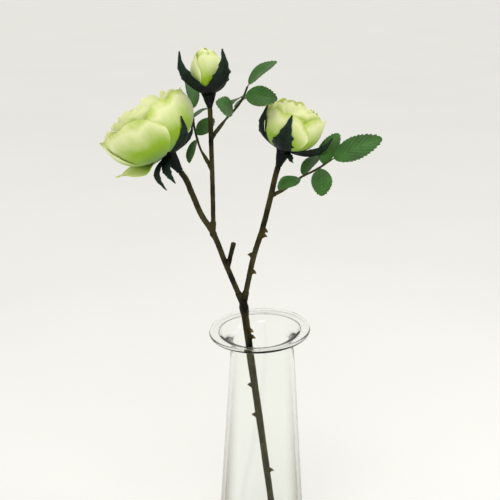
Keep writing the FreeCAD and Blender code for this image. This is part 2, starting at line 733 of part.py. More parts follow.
def build():
    """Makes every sub-part."""
    fill_sheet()
    glass_vase()
    main_stem()
    left_branch()
    plain_branch("centre_branch")
    plain_branch("right_branch")
    main_stem_wire()
    for branch in ROUTES:
        branch_wire(branch)
    for head, plan in HEADS.items():
        hip(head)
        calyx(head)
        for ring in plan["rings"]:
            petal_ring(head, ring)
        core(head)
        if "guard" in plan:
            guard_petal(head)
    for name in SPRIGS:
        sprig(name)
    doc.recompute()


def check_and_write():
    """Stops on any broken object, then writes one STEP file for each sub-part."""
    for item in doc.Objects:
        if "Invalid" in item.State or "Error" in item.State:
            raise RuntimeError(f"{item.Label} did not recompute: {item.State}")
    os.makedirs("parts", exist_ok=True)
    for piece in finished:
        if piece.Shape.isNull() or not piece.Shape.isValid() or len(piece.Shape.Solids) != 1:
            raise RuntimeError(f"{piece.Label} is not one valid solid")
        piece.Shape.exportStep(os.path.join("parts", f"{piece.Label}.step"))


build()
check_and_write()
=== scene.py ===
"""Tall clear glass flower vase with a silk rose spray leaning in it: an add-on that also runs as a script.

Metres, +Z up, the vase's foot at the origin, -Y the front. Sizes inside functions are millimetres, turned
to metres where a piece's points are written.
"""

import random
from math import atan2, cos, exp, pi, radians, sin, tan

import bpy
from mathutils import Matrix, Vector, noise


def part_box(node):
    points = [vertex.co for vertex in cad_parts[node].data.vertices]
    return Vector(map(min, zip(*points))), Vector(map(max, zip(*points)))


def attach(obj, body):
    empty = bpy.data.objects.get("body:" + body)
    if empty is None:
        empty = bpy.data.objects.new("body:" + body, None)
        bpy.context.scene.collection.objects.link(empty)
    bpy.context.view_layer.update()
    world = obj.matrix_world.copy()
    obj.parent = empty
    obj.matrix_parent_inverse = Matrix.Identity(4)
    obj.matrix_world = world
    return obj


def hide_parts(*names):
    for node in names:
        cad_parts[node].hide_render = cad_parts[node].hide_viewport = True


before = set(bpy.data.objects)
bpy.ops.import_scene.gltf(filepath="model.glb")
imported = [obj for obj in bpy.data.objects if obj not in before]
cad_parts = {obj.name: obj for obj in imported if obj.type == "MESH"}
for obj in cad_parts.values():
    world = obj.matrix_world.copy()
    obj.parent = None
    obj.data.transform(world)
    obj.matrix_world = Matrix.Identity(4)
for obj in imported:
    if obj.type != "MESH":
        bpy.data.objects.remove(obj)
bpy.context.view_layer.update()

bl_info = {
    "name": "Glass flower vase with rose spray",
    "version": (1, 0, 0),
    "blender": (4, 5, 0),
    "location": "View3D > Sidebar > Vase",
    "description": "Builds a clear glass vase and the silk rose spray that stands in it",
    "category": "Add Mesh",
}

MM = 0.001
VASE_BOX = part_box("glass_vase")

# Sockets of a colour mix node.
MIX_FIRST, MIX_SECOND, MIX_RESULT = 6, 7, 2

CREASE = radians(50)  # sharper edges stay sharp when a piece is smoothed
MERGE_GAP = 0.00001  # points of a spun body closer than this become one
SEPAL_THICKNESS = 0.0006
STEM_RADIUS = 3.0  # millimetres, as are the next five
PEG_RADIUS, PIN_RADIUS = 1.2, 0.7
HIP_HOLE, POST_RADIUS, WASHER_BORE = 1.25, 1.4, 1.6
PETIOLE = 0.06  # the share of a leaflet's length that is its stalk
SIDE_VEINS = 8.0  # pairs of side veins on a leaflet
SOLID_GRAIN = 0.00016  # how far the mould's grain raises a stem's skin
GLASS_RIPPLE = 0.0001  # how far hand-blown glass wanders from its section
LIP_STARTS, LIP_ENDS = 0.228, 0.25  # heights between which the wall turns into the leaning lip
FIRST_RIPPLE = 0.012  # the foot stays flat below this height

FLOOR_RADIUS, FLOOR_GAP = 14.0, 0.0004
SOFT_BOX = 0.5
SOFT_BOX_AIM = (0, 0, 0.3)
SENSOR, LENS = 36.0, 57.6
CAMERA_PLACE = (-0.010, -0.5822, 0.5232)
CAMERA_DIP = 19.5  # degrees below the horizon
ROOM_LIGHT = 0.84

# ---- the spray's layout, in millimetres ----

STEM_FOOT = (17.2, 18.5, 8.75)
LOWER_FORK = (-15, -22.6, 281.6)
UPPER_FORK = (-37, -32.5, 342)
LEFT_START = (-19, -24.2, 291.4)
RIGHT_START = (-13, -23.5, 292.1)
CENTRE_START = (-36.4, -33.1, 350.5)
LEFT_ROUTE = [
    LEFT_START, (-27.6, -27.6, 315), UPPER_FORK, (-44.3, -36.6, 356), (-50.4, -41, 373),
    (-55, -43.6, 385.5), (-57.9, -43.2, 389.6),
]
CENTRE_ROUTE = [CENTRE_START, (-36.4, -35.8, 380), (-36.8, -38.2, 412), (-37.2, -39.5, 433)]
RIGHT_ROUTE = [
    RIGHT_START, (-6.7, -23.9, 322.5), (-1, -22.8, 341), (4.2, -21.2, 362), (8.9, -19.7, 383),
    (10.3, -19.4, 387.6),
]
RIGHT_HEADING = (0.28, 0.05, 0.95)
CUT_STUB = ((-26.6, -27.1, 312.5), (-22, -26, 332))

# Thorns: root, or its share of the way up the main stem, the way it points, length.
STEM_THORNS = [
    (0.892, (0.95, -0.25, -0.15), 3.3), (0.914, (0.9, -0.42, -0.1), 2.6), (0.723, (-0.9, 0.3, 0.1), 3.4),
    (0.613, (-0.94, 0.2, 0.2), 3.4), (0.397, (0.98, -0.2, 0.1), 3.4), (0.21, (-0.8, 0.55, 0.2), 3),
]
RIGHT_THORNS = [
    ((-1, -22.8, 341), (0.86, -0.5, 0.1), 3.2), ((-2.3, -23.1, 337), (0.93, -0.2, 0.3), 3.4),
    ((-7.1, -24, 321), (-0.95, 0.05, 0.3), 2.8), ((-9.8, -24, 309), (0.95, -0.1, -0.3), 3),
]

# Flower heads: foot, axis, body, hip, rings of petals and sepals.
# Hip: foot radius, top radius, height.
# Ring: node, petals, first angle, foot radius, foot height, belly radius, lip radius, lip height, half width
# of a petal in degrees, curl of its lip.
# Sepal: angle, reach of its point, height of its point, bulge, width. Guard petal: the same.
HEADS = {
    "large": {
        "foot": (-57.9, -43.2, 389.6), "axis": (-0.57, 0.08, 0.82), "body": "large_rose",
        "hip": (2.4, 5.6, 14),
        "rings": [
            ("large_outer_petals", 5, 49, 4.5, 15.6, 33.5, 30.8, 48.5, 50, 1.7),
            ("large_third_petals", 5, 84, 4, 16.8, 29.5, 27, 51.5, 50, 2),
            ("large_second_petals", 5, 20, 3.5, 18, 24.5, 20.5, 54, 48, 1.2),
            ("large_inner_petals", 4, 60, 3, 19.2, 18.5, 13.5, 55, 58, 0.5),
            ("large_core", 4, 15, 2.4, 20.4, 12.5, 6, 54, 70, 0),
        ],
        "sepals": [
            (54, 33, 15, 6, 11), (100, 26, 6, 3, 9), (190, 27, 8, 4, 9),
            (296, 14.5, -19.5, 8, 8.5), (340, 12, -18.5, 5.5, 8.5),
        ],
        "guard": (284, 38.5, 9, 3.4, 17),
    },
    "half_open": {
        "foot": (10.3, -19.4, 387.6), "axis": (0.3, 0.05, 0.953), "body": "half_open_rose",
        "hip": (2.4, 5.6, 12.5),
        "rings": [
            ("half_open_outer_petals", 4, 332, 4, 13.8, 22.6, 19.4, 43, 62, 1.2),
            ("half_open_middle_petals", 4, 20, 3.5, 15, 19, 14.5, 46.5, 58, 0.9),
            ("half_open_inner_petals", 3, 70, 3, 16.2, 14, 9.5, 48, 72, 0.4),
            ("half_open_core", 3, 30, 2.4, 17.4, 9.2, 4.5, 47, 80, 0),
        ],
        "sepals": [
            (350, 24, 25.5, 9, 17), (48, 10.5, -7, 1.6, 7), (74, 31.5, 17.5, 6.5, 14),
            (150, 25, 14.5, 6.5, 11), (296, 24.8, 27, 7.6, 13),
        ],
    },
    "bud": {
        "foot": (-37.2, -39.5, 433), "axis": (-0.062, -0.02, 0.998), "body": "bud",
        "hip": (2, 4.9, 9.5),
        "rings": [
            ("bud_outer_petals", 3, 20, 3.2, 11.4, 11.2, 5.4, 38, 78, 0.3),
            ("bud_inner_petals", 3, 80, 2.8, 12, 9, 3.4, 39.5, 80, 0),
            ("bud_core", 2, 40, 2.2, 13, 6.4, 1.6, 38.5, 110, 0),
        ],
        "sepals": [
            (44, 18.5, 29, 6, 14.5), (118, 14, 16, 5, 9), (180, 15.5, 22, 5, 10),
            (232, 14, 19, 5, 9), (306, 21.5, 29, 5.5, 13.5),
        ],
    },
}

# Branches: route, the head at its end, radius.
BRANCHES = {
    "left_branch": (LEFT_ROUTE, "large", 2.1),
    "centre_branch": (CENTRE_ROUTE, "bud", 1.7),
    "right_branch": (RIGHT_ROUTE, "half_open", 2.1),
}

# Leaf sprigs: branch, root on it, way out of it, sleeve length, route beyond, leaflets.
# Leaflet: foot, tip, side it faces, width, bulge.
SPRIGS = {
    "right_sprig": {
        "branch": "right_branch",
        "root": (5.03, -20.91, 366), "toward": (0.87, -0.1, 0.48), "sleeve": 8.5,
        "route": [(26, -24, 380.5), (38, -26, 387.5), (47.5, -28, 394.6)],
        "leaflets": {
            "near_lower": ((26, -24, 380.5), (10, -37, 375), (-0.35, -0.62, 0.7), 12.6, 1.6),
            "near_upper": ((27.6, -24.3, 381.5), (41, -8, 394.5), (-0.5, -0.35, 0.79), 13, 1.6),
            "far_lower": ((40, -26.4, 388.9), (41, -33.5, 369.6), (0.1, -0.97, 0.22), 15, 1.4),
            "far_upper": ((41.5, -26.7, 390), (53.2, -13, 410.5), (-0.5, -0.66, 0.56), 15.5, 1.6),
            "end": ((47.5, -28, 394.6), (82, -31, 410.5), (-0.2, -0.85, 0.48), 17, 2.2),
        },
    },
    "upper_sprig": {
        "branch": "centre_branch",
        "root": (-36.8, -38.2, 412), "toward": (0.62, 0.14, 0.77), "sleeve": 10.5,
        "route": [(-21, -34.4, 430.5), (-15.2, -32.4, 438), (-11.6, -30.6, 446.4)],
        "leaflets": {
            "near_lower": ((-21.6, -34.6, 429.7), (-32.6, -51, 438.6), (0.55, -0.75, 0.36), 13, 1.5),
            "near_upper": ((-20.2, -34.1, 431.5), (-9.5, -20.5, 437.5), (-0.62, -0.05, 0.78), 9.5, 1.5),
            "far_lower": ((-14.6, -32.2, 439), (-21.8, -43, 436), (-0.6, -0.3, 0.74), 9, 1.4),
            "far_upper": ((-14, -31.9, 440.3), (8.6, -38.5, 438.8), (0.06, -0.93, 0.36), 14, 1.8),
            "end": ((-11.6, -30.6, 446.4), (8.4, -22, 462), (-0.5, -0.5, 0.7), 12, 2.4),
        },
    },
    "left_sprig": {
        "branch": "centre_branch",
        "root": (-36.62, -36.61, 390), "toward": (-0.5, 0.4, 0.77), "sleeve": 9.5,
        "route": [(-47, -25.6, 408.4), (-49.8, -20, 419), (-50.8, -16.6, 427.4)],
        "leaflets": {
            "near_lower": ((-47.2, -25.3, 409), (-52.5, -33.5, 393.5), (-0.7, -0.6, 0.2), 9.5, 1.5),
            "near_upper": ((-47.8, -24.2, 411), (-35.5, -18, 422), (-0.3, -0.92, 0.2), 10.5, 1.5),
            "far_lower": ((-49.6, -20.4, 418), (-57.8, -4.6, 425.4), (-0.2, -0.3, 0.93), 6.6, 1.4),
            "far_upper": ((-50.3, -18.6, 422.3), (-38.6, -8, 427.5), (-0.3, 0, 0.95), 9, 1.2),
            "end": ((-50.8, -16.6, 427.4), (-56, -8.6, 449.5), (0.75, -0.55, 0.35), 12.6, 3.4),
        },
    },
}


# ---- settings ----


def colour(name, text, value):
    """A colour property, its default given as an sRGB hex value."""
    return bpy.props.FloatVectorProperty(
        name=name, description=text, default=linear(value), subtype="COLOR", size=4, min=0.0, max=1.0,
    )


def linear(hex_value):
    """An sRGB hex value such as "c8d44a" as linear red, green, blue and a full alpha."""
    parts = [int(hex_value[i:i + 2], 16) / 255 for i in (0, 2, 4)]
    return tuple(c / 12.92 if c <= 0.04045 else ((c + 0.055) / 1.055) ** 2.4 for c in parts) + (1.0,)


def number(name, text, value, low, high, **kind):
    """A number property, whole where its default is."""
    make = bpy.props.IntProperty if isinstance(value, int) else bpy.props.FloatProperty
    return make(name=name, description=text, default=value, min=low, max=high, **kind)


class VaseSettings(bpy.types.PropertyGroup):
    """Sizes and tint of the glass."""

    lip_tilt: number(
        "Lip tilt", "How far the hand-finished lip leans", radians(2.8), 0.0, 0.08, subtype="ANGLE",
    )
    lip_shift: number(
        "Lip shift", "How far the lip sits off the foot's centre", -0.0024, -0.004, 0.004, unit="LENGTH",
    )
    lip_lift: number(
        "Lip lift", "How far the flared lip stands above its drawn height", 0.0026, 0.0, 0.004, unit="LENGTH",
    )
    facets: number("Steps", "Steps of the spin round the axis", 144, 24, 256)
    density: number("Density", "How much the glass darkens what is seen through its depth", 6.0, 0.0, 100.0)
    # Edge: painted shade, a darker brownish grey painted into the glass's colour where the eye looks along its
    # wall, low down.
    edge: colour("Edge", "Colour of the glass where the eye looks along its wall", "857e70")
    tint: colour("Tint", "Colour that the clear glass gives what is seen through it", "fdfefc")


class StemSettings(bpy.types.PropertyGroup):
    """Sizes and colours of the stems."""

    voxel: number(
        "Moulding grain", "Cell of the remesh that melts arms and thorns into one skin", 0.0004, 0.0002, 0.002,
        unit="LENGTH",
    )
    stem_dark: colour("Stem, dark", "Darkest brown olive of the stems", "080602")
    stem_light: colour("Stem, light", "Olive where the paint is thin", "423d1e")
    thorn: colour("Thorn", "Colour of the thorn points", "86652a")
    stalk: colour("Leaf stalk", "Colour of the leaf stalks", "2f351a")


class PetalSettings(bpy.types.PropertyGroup):
    """Sizes and colours of the petals."""

    thickness: number(
        "Fabric", "Thickness of the stiffened petal fabric", 0.00035, 0.0001, 0.001, unit="LENGTH",
    )
    heart: colour("Heart", "Lime in the depth of the flower", "5f8a06")
    belly: colour("Belly", "Lime green of the petal's middle", "8fb31a")
    # Fold: painted shade, a deeper lime band painted in the crease just below the rolled lip.
    fold: colour("Fold", "Lime of the crease just below the lip", "b2ca50")
    lip: colour("Lip", "Ivory of the petal's lip", "ebf0b2")


class LeafSettings(bpy.types.PropertyGroup):
    """Sizes and colours of leaves and sepals."""

    thickness: number("Fabric", "Thickness of a leaflet", 0.0004, 0.0001, 0.001, unit="LENGTH")
    teeth: number("Teeth", "Teeth along one side of a leaflet", 13, 4, 30)
    leaf: colour("Leaf", "Green of a leaflet's face", "3a7024")
    leaf_vein: colour("Vein", "Lighter green along the veins", "6a9648")
    leaf_back: colour("Leaf back", "Olive of a leaflet's back", "5c6a2c")
    sepal: colour("Sepal", "Near-black green of the sepals", "020606")
    sepal_edge: colour("Sepal edge", "Greyer green of their edges and points", "1d3325")


# ---- material helpers ----


def fill(node, settings):
    """Sets a node's properties and sockets, and links the sockets whose value is another node's output."""
    for key, value in dict(settings).items():
        if isinstance(value, bpy.types.NodeSocket):
            node.id_data.links.new(value, node.inputs[key])
        elif isinstance(key, str) and hasattr(node, key):
            setattr(node, key, value)
        else:
            node.inputs[key].default_value = value


def add(tree, kind, settings=(), output=0):
    """Adds a shader node, fills it in and returns one of its outputs."""
    node = tree.nodes.new(f"ShaderNode{kind}")
    fill(node, settings)
    return node.outputs[output]


def maths(tree, operation, first, second, third=0.5):
    """The result of a maths node; the operands are numbers or other nodes' outputs."""
    return add(tree, "Math", {"operation": operation, 0: first, 1: second, 2: third})


def speckle(tree, place, scale, detail, roughness=0.5):
    """Cloudy noise, 0 to 1."""
    return add(
        tree, "TexNoise", {"Vector": place, "Scale": scale, "Detail": detail, "Roughness": roughness}, "Fac",
    )


def stretched(tree, place, scale):
    """Coordinates scaled by x, y and z."""
    return add(tree, "Mapping", {"Vector": place, "Scale": scale})


def remap(tree, value, low, high, start, end):
    """A value between low and high brought to the range from start to end."""
    return add(
        tree, "MapRange", {"Value": value, "From Min": low, "From Max": high, "To Min": start, "To Max": end},
    )


def mix(tree, share, first, second, blend="MIX"):
    """Two colours mixed."""
    settings = {"data_type": "RGBA", "blend_type": blend, 0: share, MIX_FIRST: first, MIX_SECOND: second}
    return add(tree, "Mix", settings, MIX_RESULT)


def ramp(tree, value, stops):
    """A value turned to colour by a ramp's stops."""
    colours = add(tree, "ValToRGB", {"Fac": value})
    elements = colours.node.color_ramp.elements
    while len(elements) < len(stops):
        elements.new(0.5)
    for element, (position, shade) in zip(elements, stops):
        element.position = position
        element.color = tuple(shade)
    return colours


def relief(tree, height, strength, distance, invert=False):
    """A bump normal from a height."""
    return add(
        tree, "Bump", {"Height": height, "Strength": strength, "Distance": distance, "invert": invert},
    )


def object_place(tree):
    """Coordinates of the object's own frame."""
    return add(tree, "TexCoord", output="Object")


def sheet_chart(tree):
    """A sheet's UV coordinates, and its shares across and up."""
    chart = add(tree, "UVMap", {"uv_map": "UVMap"})
    across = add(tree, "SeparateXYZ", {"Vector": chart}, "X")
    return chart, across, across.node.outputs["Y"]


def off_middle(tree, across):
    """Distance from a sheet's middle line."""
    return maths(tree, "ABSOLUTE", maths(tree, "SUBTRACT", across, 0.5), 0.5)


def blank(name):
    """A new material and its node tree."""
    material = bpy.data.materials.new(name)
    material.use_nodes = True
    return material, material.node_tree


def shade(tree, settings):
    """Fills in the Principled shader."""
    fill(tree.nodes["Principled BSDF"], settings)


def soda_lime_glass(look):
    """Clear soda-lime glass, blown and fire-polished: nearly colourless, mirror-smooth, with faint waviness
    that bends highlights along the wall, and painted shade: a darker wall painted into its colour where the eye
    looks along it, low down."""
    material, tree = blank("soda_lime_glass")
    place = object_place(tree)
    wave = speckle(tree, stretched(tree, place, (18.0, 18.0, 5.0)), 1.0, 2.0)
    smear = speckle(tree, place, 45.0, 4.0)
    facing = add(tree, "LayerWeight", {"Blend": 0.5}, "Facing")
    height = add(tree, "SeparateXYZ", {"Vector": place}, "Z")
    # Painted shade: the wall's colour turns towards the edge colour where the eye looks along it, strongest low
    # down and fading out towards the lip.
    grazing_painted_shade = remap(tree, facing, 0.42, 0.8, 0.0, 1.0)
    share = maths(tree, "MULTIPLY", grazing_painted_shade, remap(tree, height, 0.10, 0.245, 1.0, 0.05))
    shade(tree, {
        "Transmission Weight": 1.0, "IOR": 1.50, "Specular Tint": linear("bcbc9c"),
        "Base Color": mix(tree, share, tuple(look.tint), tuple(look.edge)),
        "Roughness": remap(tree, smear, 0.55, 0.8, 0.0, 0.05),
        "Normal": relief(tree, wave, 0.10, 0.001),
    })
    depth = add(tree, "VolumeAbsorption", {"Color": linear("b6b492"), "Density": look.density})
    fill(tree.nodes["Material Output"], {"Volume": depth})
    return material


def moulded_polyethylene(name, dark, light, point):
    """Soft polyethylene moulded over wire and brush-painted: brown olive in long streaks, a dull sheen, fine
    length-wise ridges from the mould, and rust-brown where a thorn catches the brush."""
    material, tree = blank(name)
    place = object_place(tree)
    ridges = speckle(tree, stretched(tree, place, (420.0, 420.0, 45.0)), 1.0, 6.0, 0.6)
    patches = speckle(tree, place, 60.0, 3.0)
    tone = ramp(tree, maths(tree, "MULTIPLY_ADD", ridges, 0.45, patches), [(0.55, dark), (0.90, light)])
    tip = add(tree, "Attribute", {"attribute_name": "thorn"}, "Fac")
    shade(tree, {
        "IOR": 1.51, "Specular IOR Level": 0.1,
        "Base Color": mix(tree, tip, tone, tuple(point)),
        "Roughness": remap(tree, patches, 0.0, 1.0, 0.38, 0.62),
        "Normal": relief(tree, ridges, 0.5, 0.0003),
    })
    return material


def petal_silk(name, look, deeper=0.0):
    """Polyester silk, dip-dyed from the foot and stiffened: lime in the depth fading to ivory at the lip, fine
    pressed veins fanning out, a soft sheen and light glowing through; a deeper lime band just below the lip is
    painted shade in the crease."""
    material, tree = blank(name)
    chart, _, up = sheet_chart(tree)
    place = object_place(tree)
    clouded = maths(tree, "MULTIPLY_ADD", speckle(tree, place, 70.0, 3.0), 0.34, up)
    # The ramp's fold stop at 0.90 is painted shade in the crease below the lip; the other stops are the dye's
    # own lime to ivory.
    tone = ramp(
        tree, maths(tree, "SUBTRACT", clouded, 0.17 + deeper),
        [(0.06, look.heart), (0.42, look.belly), (0.78, look.lip), (0.90, look.fold), (0.98, look.lip)],
    )
    veins = speckle(tree, stretched(tree, chart, (46.0, 1.6, 1.0)), 1.0, 3.0, 0.6)
    # Threads of this silk are 0.12 mm apart, too fine to show, so the weave is drawn coarser.
    weave = add(
        tree, "TexWave", {"Vector": place, "Scale": 320.0, "Distortion": 0.6, "bands_direction": "DIAGONAL"},
        "Fac",
    )
    shade(tree, {
        "Roughness": 0.7, "IOR": 1.45, "Sheen Weight": 0.35, "Sheen Roughness": 0.4,
        "Subsurface Weight": 0.2, "Subsurface Radius": (0.9, 1.0, 0.45), "Subsurface Scale": 0.002,
        "Specular IOR Level": 0.3,
        "Base Color": mix(tree, 1.0, tone, remap(tree, veins, 0.35, 0.7, 0.97, 1.02), "MULTIPLY"),
        "Normal": relief(tree, maths(tree, "MULTIPLY_ADD", weave, 0.12, veins), 0.12, 0.0003),
    })
    return material


def vein_pattern(tree):
    """Distance from the nearest vein of a leaf, 0 on it: a midrib along V and side veins slanting off it."""
    _, across, up = sheet_chart(tree)
    side = off_middle(tree, across)
    slant = maths(tree, "MULTIPLY_ADD", side, -0.75, up)
    saw = maths(tree, "PINGPONG", maths(tree, "MULTIPLY", slant, SIDE_VEINS), 0.5)
    return maths(tree, "SMOOTH_MIN", saw, maths(tree, "MULTIPLY", side, 9.0), 0.15)


def leaf_fabric(name, base, vein):
    """Polyester leaf cloth, latex-coated and hot-pressed: satin green on the face, duller olive on the back,
    with raised lighter veins."""
    material, tree = blank(name)
    away = vein_pattern(tree)
    place = object_place(tree)
    dark = tuple(0.4 * c for c in base[:3]) + (1.0,)
    tone = ramp(tree, speckle(tree, place, 95.0, 5.0), [(0.3, dark), (0.75, base)])
    # The cloth's threads are 0.2 mm apart, drawn coarser.
    weave = add(tree, "TexWave", {"Vector": place, "Scale": 350.0, "Distortion": 1.0}, "Fac")
    shade(tree, {
        "Roughness": 0.5, "IOR": 1.47, "Sheen Weight": 0.15, "Specular IOR Level": 0.3,
        "Subsurface Weight": 0.12, "Subsurface Radius": (0.3, 0.8, 0.2), "Subsurface Scale": 0.001,
        "Base Color": mix(tree, remap(tree, away, 0.0, 0.14, 0.32, 0.0), tone, tuple(vein)),
        "Normal": relief(tree, maths(tree, "MULTIPLY_ADD", weave, 0.08, away), 0.3, 0.0004, True),
    })
    return material


def sepal_plastic(look):
    """Polyethylene dipped in dark dye: near-black blue green, paler and greyer at edges and points, with
    length-wise ribs and a leathery grain."""
    material, tree = blank("dyed_polyethylene_sepal")
    chart, across, up = sheet_chart(tree)
    grain = speckle(tree, object_place(tree), 260.0, 5.0)
    worn = maths(tree, "MULTIPLY", maths(tree, "MULTIPLY_ADD", off_middle(tree, across), 0.7, up), 0.8)
    ribs = speckle(tree, stretched(tree, chart, (16.0, 1.0, 1.0)), 1.0, 4.0)
    shade(tree, {
        "Roughness": 0.6, "IOR": 1.51, "Specular IOR Level": 0.15,
        "Base Color": ramp(
            tree, maths(tree, "MULTIPLY", worn, grain), [(0.12, look.sepal), (0.55, look.sepal_edge)],
        ),
        "Normal": relief(tree, maths(tree, "MULTIPLY_ADD", grain, 0.5, ribs), 0.5, 0.0004),
    })
    return material


def drawn_steel():
    """Galvanised steel wire, cold-drawn: dull grey with fine length-wise drawing marks."""
    material, tree = blank("drawn_galvanised_steel")
    marks = speckle(tree, stretched(tree, object_place(tree), (3000.0, 3000.0, 60.0)), 1.0, 2.0)
    tone = ramp(tree, marks, [(0.3, linear("7c7e80")), (0.7, linear("b4b6b8"))])
    shade(tree, {"Metallic": 1.0, "Roughness": 0.42, "Base Color": tone})
    return material


def painted_board():
    """The stage floor's board, painted matt off-white, a little uneven, glowing faintly to lift the shadows."""
    material, tree = blank("matt_painted_board")
    clouds = speckle(tree, object_place(tree), 2.2, 4.0)
    shade(tree, {
        "Roughness": 0.95, "Emission Color": linear("f4f4f0"), "Emission Strength": 0.11,
        "Base Color": ramp(tree, clouds, [(0.3, linear("f2f2ef")), (0.7, linear("f6f6f3"))]),
    })
    return material


# ---- modelling helpers ----


def clear_selection():
    """Deselects everything, leaving object mode."""
    if bpy.context.object and bpy.context.object.mode != "OBJECT":
        bpy.ops.object.mode_set(mode="OBJECT")
    bpy.ops.object.select_all(action="DESELECT")


def choose(*pieces):
    """Selects only these pieces, the first of them active."""
    clear_selection()
    for piece in pieces:
        piece.select_set(True)
    bpy.context.view_layer.objects.active = pieces[0]
    return pieces[0]


def join(pieces, name):
    """Joins pieces into the first of them and names it."""
    whole = choose(*pieces)
    if len(pieces) > 1:
        bpy.ops.object.join()
    whole.name = name
    whole.data.name = name
    return whole


def modify(piece, kind, **settings):
    """Adds a modifier, sets it and applies it."""
    choose(piece)
    modifier = piece.modifiers.new(kind.title(), kind)
    for key, value in settings.items():
        setattr(modifier, key, value)
    bpy.ops.object.modifier_apply(modifier=modifier.name)
    return piece


def paint(piece, *materials):
    """Gives a piece its materials."""
    piece.data.materials.clear()
    for material in materials:
        piece.data.materials.append(material)


def settle(piece, body, nodes):
    """Smooths a finished piece, hangs it on its body and lets it stand for its CAD nodes."""
    choose(piece)
    bpy.ops.object.shade_smooth_by_angle(angle=CREASE)
    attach(piece, body)
    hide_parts(*nodes)
    return piece


def mesh_sheet(name, across, up, place):
    """A grid primitive whose points are moved to place(u, t), u from -1 to 1 across and t from 0 to 1 up."""
    clear_selection()
    bpy.ops.mesh.primitive_grid_add(x_subdivisions=across, y_subdivisions=up, size=2)
    piece = bpy.context.object
    piece.name = name
    for point in piece.data.vertices:
        point.co = place(point.co.x, (point.co.y + 1) / 2) * MM
    return piece


def tube(name, points, radii, steps=12, sides=6):
    """A bezier curve through points in millimetres, bevelled to its radii, made a mesh with closed ends."""
    clear_selection()
    bpy.ops.curve.primitive_bezier_curve_add()
    piece = bpy.context.object
    piece.name = name
    spline = piece.data.splines[0]
    spline.bezier_points.add(len(points) - len(spline.bezier_points))
    for knot, place, radius in zip(spline.bezier_points, points, radii):
        knot.co = Vector(place) * MM
        knot.radius = radius
        knot.handle_left_type = "AUTO"
        knot.handle_right_type = "AUTO"
    piece.data.dimensions = "3D"
    piece.data.bevel_depth = MM
    piece.data.bevel_resolution = sides
    piece.data.resolution_u = steps
    piece.data.use_fill_caps = True
    choose(piece)
    bpy.ops.object.convert(target="MESH")
    return bpy.context.object


def traced(name, profile, steps):
    """A body of revolution about Z: a profile traced by extruding one point, then spun, in millimetres."""
    clear_selection()
    bpy.ops.mesh.primitive_plane_add(size=1)
    piece = bpy.context.object
    piece.name = name
    bpy.ops.object.mode_set(mode="EDIT")
    bpy.ops.mesh.select_all(action="SELECT")
    bpy.ops.mesh.merge(type="CENTER")
    start = Vector((profile[0][0], 0, profile[0][1])) * MM
    bpy.ops.transform.translate(value=start)
    for before, after in zip(profile, profile[1:]):
        step = Vector((after[0] - before[0], 0, after[1] - before[1])) * MM
        bpy.ops.mesh.extrude_region_move(TRANSFORM_OT_translate={"value": step})
    bpy.ops.mesh.select_all(action="SELECT")
    bpy.ops.mesh.spin(steps=steps, angle=2 * pi, center=(0, 0, 0), axis=(0, 0, 1))
    bpy.ops.mesh.select_all(action="SELECT")
    bpy.ops.mesh.remove_doubles(threshold=MERGE_GAP)
    bpy.ops.mesh.normals_make_consistent(inside=False)
    bpy.ops.object.mode_set(mode="OBJECT")
    return piece


def arc(x, z, radius, start, end, count):
    """Points of an arc in a profile, angles in degrees from +X towards +Z."""
    turns = [radians(start + (end - start) * i / count) for i in range(count + 1)]
    return [(x + radius * cos(turn), z + radius * sin(turn)) for turn in turns]


def bezier(p0, p1, p2, p3, t):
    """A point of a cubic curve."""
    s = 1 - t
    return p0 * s ** 3 + p1 * 3 * s * s * t + p2 * 3 * s * t * t + p3 * t ** 3


def smooth(low, high, value):
    """0 below low, 1 above high, easing between."""
    share = min(1.0, max(0.0, (value - low) / (high - low)))
    return share * share * (3 - 2 * share)


def head_matrix(head):
    """From a flower head's own frame, +Z along its axis and +X to the front, to the whole."""
    plan = HEADS[head]
    z = Vector(plan["axis"]).normalized()
    front = Vector((0, -1, 0))
    x = (front - z * front.dot(z)).normalized()
    y = z.cross(x)
    turn = Matrix((x, y, z)).transposed().to_4x4()
    return Matrix.Translation(Vector(plan["foot"])) @ turn


def directions(turn):
    """The way out from the axis at a turn about it, and the way round."""
    return Vector((cos(turn), sin(turn), 0)), Vector((-sin(turn), cos(turn), 0))


def put(piece, matrix):
    """Moves a piece's points by a matrix given in millimetres."""
    piece.data.transform(Matrix.Translation(matrix.translation * MM) @ matrix.to_3x3().to_4x4())
    return piece


def thicken(piece, thickness, back=0):
    """Gives a sheet its thickness, its back and rim taking another material if asked."""
    return modify(
        piece, "SOLIDIFY", thickness=thickness, offset=0.0, use_even_offset=False, use_rim=True,
        material_offset=back, material_offset_rim=back,
    )


# ---- the glass ----


